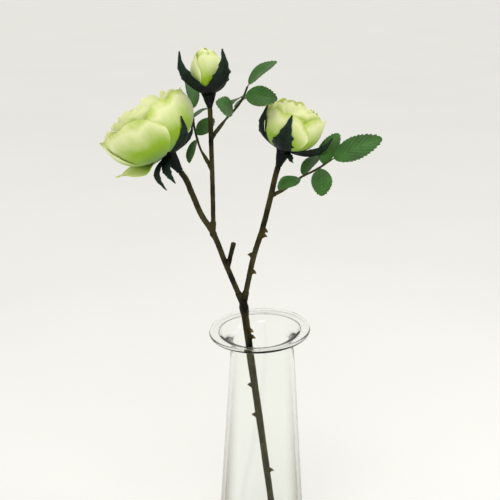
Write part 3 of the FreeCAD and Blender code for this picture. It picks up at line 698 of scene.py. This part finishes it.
class VASE_OT_glass(bpy.types.Operator):
    """Spins the vase's section into one piece of glass and leans its hand-finished lip"""

    bl_idname = "vase.glass"
    bl_label = "Glass vase"

    def execute(self, context):
        look = context.scene.vase_glass
        top = VASE_BOX[1].z / MM
        foot, heel, neck, wall, base, well = 41.0, 4.0, 25.2, 3.0, 8.0, 6.0
        neck_z, lip = 238.0, 40.3
        slope = (foot - neck) / neck_z
        profile = [(0.0, 0.0), (12.0, 0.0), (24.0, 0.0), (33.0, 0.0)]
        profile += arc(foot - heel, heel, heel, -90, -4, 6)
        profile += [(foot - slope * z, z) for z in (14, 40, 80, 120, 160, 200, 222, 232)]
        profile += arc(neck + 6.2, neck_z, 6.3, 180, 106, 7)
        profile += [(33.0, top - 5.0), (36.0, top - 4.4)]
        profile += arc(lip - 1.5, top - 3.0, 1.5, -100, 100, 10)
        profile += [(36.0, top - 2.1), (33.0, top - 2.6)]
        profile += arc(neck + 6.0, neck_z - 1.0, 8.9, 82, 172, 10)
        profile += [(neck - wall + slope * (neck_z - z), z) for z in (232, 222, 200, 160, 120, 80, 40, 22)]
        profile += arc(foot - slope * 14 - wall - well, base + well, well, -4, -90, 6)
        profile += [(22.0, base), (10.0, base), (0.0, base)]
        piece = traced("glass_vase_blown", profile, look.facets)
        for point in piece.data.vertices:
            share = smooth(LIP_STARTS, LIP_ENDS, point.co.z)
            reach = point.co.x * share
            point.co.x += look.lip_shift * share
            point.co.z += reach * tan(look.lip_tilt) + look.lip_lift * share
            ripple = noise.noise(Vector((point.co.x * 22, point.co.y * 22, point.co.z * 9)))
            outward = Vector((point.co.x, point.co.y, 0))
            if outward.length > 0.01 and point.co.z > FIRST_RIPPLE:
                point.co += outward.normalized() * ripple * GLASS_RIPPLE
        paint(piece, soda_lime_glass(look))
        settle(piece, "vase", ["glass_vase"])
        return {"FINISHED"}


# ---- the stems ----


def thorn(root, toward, stem_radius, length, heading):
    """One hooked thorn: a short tube that tapers to a point and bends down the stem."""
    out = Vector(toward)
    out = (out - heading * out.dot(heading) * 0.7).normalized()
    root = Vector(root)
    base = root + out * (stem_radius * 0.5)
    reach = stem_radius + length
    points = [
        base - heading * 0.2, root + out * (stem_radius + length * 0.25),
        root + out * (stem_radius + length * 0.6) - heading * 0.25, root + out * reach - heading * 0.9,
    ]
    return tube("thorn", points, [2.5, 1.7, 0.95, 0.25], steps=6, sides=4)


def grow_thorns(entries, radius, heading):
    """Thorns from their roots, ways and lengths on a stem of some radius, and the points they end at."""
    parts = [thorn(root, toward, radius, length, heading) for root, toward, length in entries]
    tips = [
        (Vector(root) + Vector(toward).normalized() * (radius + length)) * MM for root, toward, length in entries
    ]
    return parts, tips


def arm(fork, start, middle, radii):
    """The short arm between a fork's heart and the start of the branch beyond."""
    points = [along_line(fork, start, -0.3), fork, along_line(fork, start, middle), start]
    return tube("arm", points, radii, steps=4, sides=8)


def mould(parts, name, voxel, smooth_steps=3):
    """Melts overlapping tubes into one skin, as a mould leaves them, and roughens it a little."""
    piece = join(parts, name)
    modify(piece, "REMESH", mode="VOXEL", voxel_size=voxel)
    modify(piece, "SMOOTH", factor=0.5, iterations=smooth_steps)
    outward = [point.normal.copy() for point in piece.data.vertices]
    for point, normal in zip(piece.data.vertices, outward):
        ripple = noise.noise(point.co * 260) * 0.6 + noise.noise(point.co * 700) * 0.4
        point.co += normal * ripple * SOLID_GRAIN
    return piece


def mark_thorns(piece, tips, strength=0.9):
    """Writes a vertex attribute that is strongest at the thorns' points and fades towards their roots."""
    layer = piece.data.attributes.new("thorn", "FLOAT", "POINT")
    for point in piece.data.vertices:
        nearest = min(((point.co - tip).length for tip in tips), default=1.0)
        layer.data[point.index].value = strength * (1 - smooth(0.001, 0.0036, nearest))


def along_line(start, end, share):
    """A point between two others."""
    return Vector(start).lerp(Vector(end), share)


class VASE_OT_stems(bpy.types.Operator):
    """Moulds the main stem and its three branches, each one skin with its arms, thorns, pegs and pins"""

    bl_idname = "vase.stems"
    bl_label = "Stem and branches"

    def execute(self, context):
        look = context.scene.vase_stem
        plastic = moulded_polyethylene(
            "moulded_polyethylene_stem", look.stem_dark, look.stem_light, look.thorn,
        )
        self.main_stem(look, plastic)
        for name in BRANCHES:
            extras = self.left_extras() if name == "left_branch" else self.pins(name)
            self.branch(name, look, plastic, extras)
        steel = drawn_steel()
        for coat in ("main_stem", *BRANCHES):
            paint(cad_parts[f"{coat}_wire"], steel)
        return {"FINISHED"}

    def main_stem(self, look, plastic):
        """The long stem with two arms and its thorns."""
        shares = [i / 14 for i in range(15)]
        swell = [2.86 + 0.1 * sin(i * 2.4) for i in range(15)]
        points = [along_line(STEM_FOOT, LOWER_FORK, share) for share in shares]
        parts = [tube("stem", points, swell, steps=4, sides=8)]
        heading = (Vector(LOWER_FORK) - Vector(STEM_FOOT)).normalized()
        node = [along_line(STEM_FOOT, LOWER_FORK, 0.962 + 0.014 * i) for i in range(4)]
        parts.append(tube("node", node, [2.9, 3.5, 3.7, 3.0], steps=4, sides=8))
        for start in (LEFT_START, RIGHT_START):
            parts.append(arm(LOWER_FORK, start, 0.6, [2.4, 2.8, 2.6, 2.5]))
        rooted = [(along_line(STEM_FOOT, LOWER_FORK, share), *thorn_plan) for share, *thorn_plan in STEM_THORNS]
        thorns, tips = grow_thorns(rooted, STEM_RADIUS, heading)
        piece = mould(parts + thorns, "main_stem_skin", look.voxel)
        mark_thorns(piece, tips)
        paint(piece, plastic)
        settle(piece, "spray", ["main_stem"])

    def branch(self, name, look, plastic, extras):
        """One branch with its peg, shoulders and thorns."""
        route, head, radius = BRANCHES[name]
        axis = Vector(HEADS[head]["axis"]).normalized()
        end = Vector(route[-1])
        points = route[:-1] + [end - axis * 2.5, end]
        count = len(points)
        radii = [radius * (1.0 + 0.05 * sin(3.1 * i)) for i in range(count - 1)] + [radius * 1.04]
        parts = [tube("coat", points, radii, steps=14, sides=8)]
        parts.append(tube("peg", [end - axis * 2, end + axis * 7], [PEG_RADIUS] * 2, steps=2, sides=6))
        thorns, tips = [], []
        if name == "right_branch":
            thorns, tips = grow_thorns(RIGHT_THORNS, radius, Vector(RIGHT_HEADING).normalized())
        piece = mould(parts + thorns + extras, f"{name}_skin", look.voxel)
        mark_thorns(piece, tips, 0.3)
        paint(piece, plastic)
        settle(piece, "spray", [name])

    def pins(self, branch):
        """Shoulders and pins for the leaf sprigs of a branch."""
        parts = []
        for plan in SPRIGS.values():
            if plan["branch"] != branch:
                continue
            root, out = Vector(plan["root"]), Vector(plan["toward"]).normalized()
            shoulder = [root, root + out * 2.2, root + out * 4.2]
            parts.append(tube("shoulder", shoulder, [2.0, 1.7, 1.6], 3, 6))
            parts.append(tube("pin", [root + out * 3, root + out * 9.2], [PIN_RADIUS] * 2, 2, 4))
        return parts

    def left_extras(self):
        """The bud's arm, the knuckle of the upper fork and the snipped stub."""
        knuckle = [(-35.6, -31.9, 338.2), (-36.6, -32.3, 341.0), (-37.4, -32.7, 343.4)]
        stub = [CUT_STUB[0], along_line(*CUT_STUB, 0.5), CUT_STUB[1]]
        return [
            arm(UPPER_FORK, CENTRE_START, 0.5, [1.7, 2.3, 2.2, 2.1]),
            tube("knuckle", knuckle, [2.1, 2.7, 2.1], 4, 8),
            tube("stub", stub, [1.9, 1.75, 1.9], 4, 8),
        ]


# ---- petals ----


def petal(name, ring, centre, rng, detail=22):
    """One cupped petal: it rises from the post, bellies out, rounds off at the top and rolls its lip out."""
    foot_r, foot_z, belly_r, lip_r, lip_z, half, curl = ring
    p0 = Vector((foot_r, foot_z))
    closed = max(0.0, 1 - lip_r / belly_r)
    p1 = Vector((belly_r * (0.62 + 0.4 * closed), foot_z - 0.4))
    p2 = Vector((belly_r * (1.07 + 0.7 * closed), foot_z + (lip_z - foot_z) * (0.34 + 0.3 * closed)))
    p3 = Vector((lip_r, lip_z))
    spread = radians(half)
    lean = rng.uniform(-0.05, 0.05)
    phase = rng.uniform(0, 6.28)
    notch = rng.uniform(0.6, 1.4)
    lift = rng.uniform(-1.2, 1.0)

    def place(u, t):
        dome = 1 - 0.30 * abs(u) ** 3.2 - 0.035 * notch * exp(-(u / 0.16) ** 2)
        s = t * dome
        flat = bezier(p0, p1, p2, p3, s)
        width = 0.30 + 0.70 * sin(pi * 0.5 * min(1.0, s * 1.7)) ** 0.9
        angle = centre + spread * u * width + lean * s
        radius, height = flat.x, flat.y + lift * s
        overlap = 0.42 * u * smooth(0.1, 0.6, s)
        radius += overlap * 2.0 * min(1.0, belly_r / 20)
        roll = smooth(0.80, 1.0, s / max(dome, 0.2) * dome)
        radius += curl * roll * roll * (1.0 + 0.4 * sin(3 * u + phase))
        height -= 0.55 * curl * roll * roll
        edge = smooth(0.72, 1.0, abs(u)) * smooth(0.35, 0.8, s)
        radius += edge * curl * 0.6 * (1 if u > 0 else -0.25)
        wave = sin(5.0 * u + phase) * 0.35 + sin(9.0 * u - phase) * 0.16
        radius += wave * smooth(0.5, 1.0, s) * min(1.0, belly_r / 18)
        height += sin(6.0 * u + 2 * phase) * 0.35 * smooth(0.7, 1.0, s)
        return Vector((radius * cos(angle), radius * sin(angle), height))

    return mesh_sheet(name, detail, detail, place)


def ring_of_petals(head, entry, seed):
    """All the petals of one ring, laid round like shingles."""
    node, count, first, foot_r, foot_z = entry[:5]
    rng = random.Random(seed)
    parts = []
    for number in range(count):
        centre = radians(first + 360.0 / count * number + rng.uniform(-5, 5))
        parts.append(petal(f"{node}_{number}", entry[3:], centre, rng))
    outer, low, high = foot_r + 1.0, foot_z - 0.1, foot_z + 0.25
    section = [(WASHER_BORE, low), (outer, low), (outer, high), (WASHER_BORE, high), (WASHER_BORE, low)]
    return parts, traced(f"{node}_washer", section, 24)


class VASE_OT_petals(bpy.types.Operator):
    """Cuts, cups and threads every ring of silk petals of the three flower heads"""

    bl_idname = "vase.petals"
    bl_label = "Petals"

    def execute(self, context):
        look = context.scene.vase_petal
        silk = petal_silk("polyester_silk_petal", look)
        outer_silk = petal_silk("polyester_silk_outer_petal", look, deeper=0.14)
        inner_silk = petal_silk("polyester_silk_inner_petal", look, deeper=-0.12)
        for head, plan in HEADS.items():
            to_place = head_matrix(head)
            for number, entry in enumerate(plan["rings"]):
                parts, washer = ring_of_petals(head, entry, seed=11 * number + len(head))
                whole = thicken(join(parts, f"{entry[0]}_silk"), look.thickness)
                whole = join([whole, washer], f"{entry[0]}_silk")
                put(whole, to_place)
                paint(whole, (outer_silk, silk)[number] if number < 2 else inner_silk)
                settle(whole, plan["body"], [entry[0]])
        self.guard_petal(look, silk)
        return {"FINISHED"}

    def guard_petal(self, look, silk):
        """The loose petal that droops from under the open rose."""
        angle, radius, height, bulge, width = HEADS["large"]["guard"]
        turn = radians(angle)
        out, side = directions(turn)

        def place(u, t):
            s = t * (1 - 0.22 * abs(u) ** 3)
            reach = 3.0 + (radius - 3.0) * s
            sag = 15.1 + height * s ** 1.5 - 4 * bulge * s * (1 - s) * 0.55
            half = width / 2 * (0.25 + 0.75 * sin(pi * min(1.0, s * 1.15 + 0.05)) ** 0.7)
            cup = 1.6 * u * u * (1 - s) + 1.2 * u * sin(2.2 * s) - 1.3 * smooth(0.8, 1.0, s)
            roll = 0.95 * smooth(0.15, 0.6, s)
            across = side * cos(roll) - Vector((0, 0, sin(roll)))
            return out * reach + across * (u * half) + Vector((0, 0, sag + cup))

        piece = thicken(mesh_sheet("large_guard_petal_silk", 16, 30, place), look.thickness)
        put(piece, head_matrix("large"))
        paint(piece, silk)
        settle(piece, "large_rose", ["large_guard_petal"])


# ---- hips and sepals ----


class VASE_OT_sepals(bpy.types.Operator):
    """Moulds each flower head's hip and its collar of five toothed sepals"""

    bl_idname = "vase.sepals"
    bl_label = "Hips and sepals"

    def execute(self, context):
        look = context.scene.vase_leaf
        plastic = sepal_plastic(look)
        for head, plan in HEADS.items():
            self.hip(head, plan, plastic)
            self.calyx(head, plan, plastic)
        return {"FINISHED"}

    def hip(self, head, plan, plastic):
        """The urn-shaped hip with its post, open below where the branch's peg goes in."""
        foot, top, height = plan["hip"]
        outline = [(HIP_HOLE, 0.3), (foot - 0.4, 0.3), (foot, 0.7)]
        for number in range(1, 11):
            share = number / 10
            bulge = 0.5 * sin(pi * min(1.0, share * 1.05)) ** 2
            ease = share ** 1.6
            outline.append((foot + (top - foot) * ease + bulge, 0.7 + (height - 0.9) * share))
        post = plan["rings"][-1][4] + 8
        outline += [(top - 0.5, height), (POST_RADIUS, height), (POST_RADIUS, post), (0, post)]
        piece = traced(f"{head}_hip_moulded", outline, 40)
        for point in piece.data.vertices:
            turn = atan2(point.co.y, point.co.x)
            low = smooth(0.0, height * MM, point.co.z)
            swell = 1 + 0.045 * sin(5 * turn) * low
            if point.co.z < (height - 0.3) * MM:
                point.co.x *= swell
                point.co.y *= swell
        put(piece, head_matrix(head))
        paint(piece, plastic)
        settle(piece, plan["body"], [f"{head}_hip"])

    def sepal(self, name, floor, start, angle, radius, height, bulge, width, rng):
        """One sepal: a cupped blade with a long point and small side teeth."""
        turn = radians(angle)
        out, side = directions(turn)
        foot = out * start + Vector((0, 0, floor - 0.2))
        tip = out * radius + Vector((0, 0, floor + height))
        chord = tip - foot
        away = out * abs(chord.z) - Vector((0, 0, chord.dot(out))) * (1 if chord.z > 0 else -1)
        away.normalize()
        teeth = [(0.38, 1, 0.14), (0.50, -1, 0.20), (0.62, 1, 0.16), (0.73, -1, 0.12)]
        twist = -0.7 * sin(turn) + rng.uniform(-0.15, 0.15)
        sway = rng.uniform(-1.2, 1.2)
        body = [(0.0, 0.95), (0.15, 1.1), (0.35, 0.96), (0.55, 0.68), (0.75, 0.4), (0.9, 0.18), (1.0, 0.03)]

        def share_width(t):
            for (t0, w0), (t1, w1) in zip(body, body[1:]):
                if t <= t1:
                    return w0 + (w1 - w0) * smooth(t0, t1, t)
            return body[-1][1]

        def place(u, t):
            wide = share_width(t)
            for at, hand, size in teeth:
                if u * hand > 0.3:
                    lean = (t - at) / 0.055
                    wide += size * max(0.0, 1 - abs(lean)) * smooth(0.3, 1.0, u * hand)
            half = width / 2 * wide
            cup = (0.28 * width * (1 - 0.8 * t)) * u * u
            mid = foot + chord * t + away * bulge * 4 * t * (1 - t) + side * sway * sin(2.6 * t)
            curl_out = away * (-1.4 * smooth(0.8, 1.0, t) * (1 if height > 0 else -1))
            turned = twist * smooth(0.1, 0.8, t)
            rise = u * half * sin(turned) - half * abs(sin(turned)) * 0.25
            keel = 0.35 * exp(-(u / 0.22) ** 2) * (1 - t)
            return mid + side * (u * half * cos(turned)) - away * (cup - keel + rise) + curl_out

        return mesh_sheet(name, 14, 44, place)

    def calyx(self, head, plan, plastic):
        """Five sepals on a collar."""
        rng = random.Random(41 + len(head))
        floor, collar = plan["hip"][2] + 0.45, plan["hip"][1] + 0.2
        parts = [
            self.sepal(f"{head}_sepal_{n}", floor, collar - 2.4, *entry, rng)
            for n, entry in enumerate(plan["sepals"])
        ]
        whole = thicken(join(parts, f"{head}_calyx_moulded"), SEPAL_THICKNESS)
        low, high = floor - 0.42, floor + 0.42
        ring = [
            (WASHER_BORE, low), (collar - 0.7, low), (collar - 0.1, floor - 0.2), (collar, floor),
            (collar - 0.3, floor + 0.35), (collar - 1.4, high), (WASHER_BORE, high), (WASHER_BORE, low),
        ]
        whole = join([whole, traced(f"{head}_collar", ring, 40)], f"{head}_calyx_moulded")
        put(whole, head_matrix(head))
        paint(whole, plastic)
        settle(whole, plan["body"], [f"{head}_calyx"])


# ---- leaves ----


class VASE_OT_leaves(bpy.types.Operator):
    """Presses every toothed leaflet and moulds the stalks that carry them"""

    bl_idname = "vase.leaves"
    bl_label = "Leaf sprigs"

    def execute(self, context):
        look = context.scene.vase_leaf
        stem = context.scene.vase_stem
        olive = tuple(look.leaf_back)
        pale_olive = tuple(min(1.0, 1.35 * c) for c in olive[:3]) + (1.0,)
        face = leaf_fabric("coated_polyester_leaf_face", tuple(look.leaf), look.leaf_vein)
        back = leaf_fabric("coated_polyester_leaf_back", olive, pale_olive)
        green = moulded_polyethylene("moulded_polyethylene_stalk", stem.stalk, stem.stem_light, stem.thorn)
        rng = random.Random(7)
        for name, plan in SPRIGS.items():
            self.stalk(name, plan, stem, green)
            for leaflet, entry in plan["leaflets"].items():
                self.leaflet(f"{name}_{leaflet}", name, entry, look, face, back, rng)
        return {"FINISHED"}

    def stalk(self, name, plan, stem, green):
        """A sleeve on the branch's pin, a slim stalk beyond, and a small knee where leaflets sit."""
        root, out = Vector(plan["root"]), Vector(plan["toward"]).normalized()
        start = root + out * 4.5
        end = start + out * plan["sleeve"]
        points = [start, start + out * (plan["sleeve"] * 0.5), end - out * 2.0, end + out * 1.0]
        points += plan["route"]
        radii = [1.5, 1.42, 1.15, 0.78, 0.85, 0.85, 0.7]
        parts = [tube(f"{name}_bar", points, radii, 12, 6)]
        for knee in plan["route"][:2]:
            knee = Vector(knee)
            parts.append(tube("knee", [knee - out * 0.9, knee, knee + out * 0.9], [0.6, 1.05, 0.6], 4, 5))
        piece = mould(parts, f"{name}_stalk_moulded", stem.voxel * 0.75, 2)
        mark_thorns(piece, [])
        paint(piece, green)
        settle(piece, name, [f"{name}_stalk"])

    def leaflet(self, node, body, entry, look, face, back, rng):
        """One leaflet: an oval blade with forward teeth, folded along its midrib, arched and slightly wavy."""
        foot, tip, faces, width, bulge = entry
        foot, tip = Vector(foot), Vector(tip)
        ahead = (tip - foot).normalized()
        length = (tip - foot).length
        out = Vector(faces)
        out = (out - ahead * out.dot(ahead)).normalized()
        side = ahead.cross(out)
        phase = rng.uniform(0, 6.28)
        fold = rng.uniform(0.10, 0.20)

        def half_width(t):
            if t < PETIOLE:
                return 0.055
            s = (t - PETIOLE) / (1 - PETIOLE)
            return 0.055 + 0.945 * sin(pi * s ** 0.92) ** 0.62 * (1 - 0.12 * s ** 3)

        def place(u, t):
            wide = half_width(t)
            s = max(0.0, (t - PETIOLE) / (1 - PETIOLE))
            tooth = (s * look.teeth) % 1.0
            jag = 0.0
            if 0.06 < s < 0.97:
                jag = (tooth - 0.45) * 0.13 * smooth(0.6, 1.0, abs(u))
            half = width / 2 * (wide + jag)
            lift = fold * width * abs(u) ** 1.3 * wide * 0.6
            wave = 0.35 * sin(7 * s + phase + (2 if u > 0 else 0)) * abs(u) ** 2 * wide
            ribs = 0.06 * cos(2 * pi * (s * SIDE_VEINS - abs(u) * 3)) * abs(u) * wide
            arch = bulge * 4 * t * (1 - t)
            forward = ahead * (length * t + jag * width * 0.5)
            return foot + forward + side * (u * half) + out * (arch + lift + wave + ribs)

        piece = mesh_sheet(f"{node}_pressed", 16, 90, place)
        piece.data.materials.append(face)
        piece.data.materials.append(back)
        if piece.data.polygons[0].normal.dot(out) < 0:
            choose(piece)
            bpy.ops.object.mode_set(mode="EDIT")
            bpy.ops.mesh.select_all(action="SELECT")
            bpy.ops.mesh.flip_normals()
            bpy.ops.object.mode_set(mode="OBJECT")
        thicken(piece, look.thickness, back=1)
        settle(piece, body, [f"{node}_leaflet"])


# ---- stage ----


class VASE_OT_stage(bpy.types.Operator):
    """Lays the pale floor and sets the soft light and the camera"""

    bl_idname = "vase.stage"
    bl_label = "Floor, light and camera"

    def execute(self, context):
        clear_selection()
        bpy.ops.mesh.primitive_circle_add(
            vertices=96, radius=FLOOR_RADIUS, fill_type="NGON", location=(0, 0, -FLOOR_GAP),
        )
        floor = context.object
        floor.name = "stage_floor"
        paint(floor, painted_board())
        self.world(context)
        self.light("key_soft_box", (-0.15, -0.60, 1.20), 3.4)
        self.light("side_soft_box", (0.75, -0.10, 0.80), 1.6)
        bpy.ops.object.camera_add(location=CAMERA_PLACE, rotation=(radians(90 - CAMERA_DIP), 0, 0))
        camera = context.object
        camera.data.sensor_width, camera.data.lens = SENSOR, LENS
        context.scene.camera = camera
        context.scene.view_settings.view_transform = "Standard"
        return {"FINISHED"}

    def world(self, context):
        """Even pale surroundings."""
        world = bpy.data.worlds.new("studio")
        world.use_nodes = True
        background = world.node_tree.nodes["Background"]
        background.inputs["Color"].default_value = linear("f4f3ef")
        background.inputs["Strength"].default_value = ROOM_LIGHT
        context.scene.world = world

    def light(self, name, place, power):
        """One square soft box that looks at the middle of the vase and spray."""
        clear_selection()
        bpy.ops.object.light_add(type="AREA", location=place)
        lamp = bpy.context.object
        lamp.name = name
        lamp.data.size = SOFT_BOX
        lamp.data.energy = power
        lamp.rotation_euler = (Vector(SOFT_BOX_AIM) - Vector(place)).to_track_quat("-Z", "Y").to_euler()


class VASE_PT_panel(bpy.types.Panel):
    """Lists the build steps and settings"""

    bl_idname = "VASE_PT_panel"
    bl_label = "Glass flower vase"
    bl_space_type = "VIEW_3D"
    bl_region_type = "UI"
    bl_category = "Vase"

    def draw(self, context):
        for group in ("vase_glass", "vase_stem", "vase_petal", "vase_leaf"):
            box = self.layout.box()
            settings = getattr(context.scene, group)
            for key in settings.__annotations__:
                box.prop(settings, key)
        for step in STEPS:
            self.layout.operator(step.bl_idname)


STEPS = (VASE_OT_stage, VASE_OT_glass, VASE_OT_stems, VASE_OT_petals, VASE_OT_sepals, VASE_OT_leaves)
GROUPS = {
    "vase_glass": VaseSettings,
    "vase_stem": StemSettings,
    "vase_petal": PetalSettings,
    "vase_leaf": LeafSettings,
}
CLASSES = (*GROUPS.values(), *STEPS, VASE_PT_panel)


def register():
    """Registers the settings, the steps and the panel."""
    for kind in CLASSES:
        bpy.utils.register_class(kind)
    for key, group in GROUPS.items():
        setattr(bpy.types.Scene, key, bpy.props.PointerProperty(type=group))


def unregister():
    """Takes them away again."""
    for key in GROUPS:
        delattr(bpy.types.Scene, key)
    for kind in reversed(CLASSES):
        bpy.utils.unregister_class(kind)


def main():
    """Builds everything in order."""
    register()
    for step in STEPS:
        getattr(bpy.ops.vase, step.bl_idname.split(".")[1])()


if __name__ == "__main__":
    main()
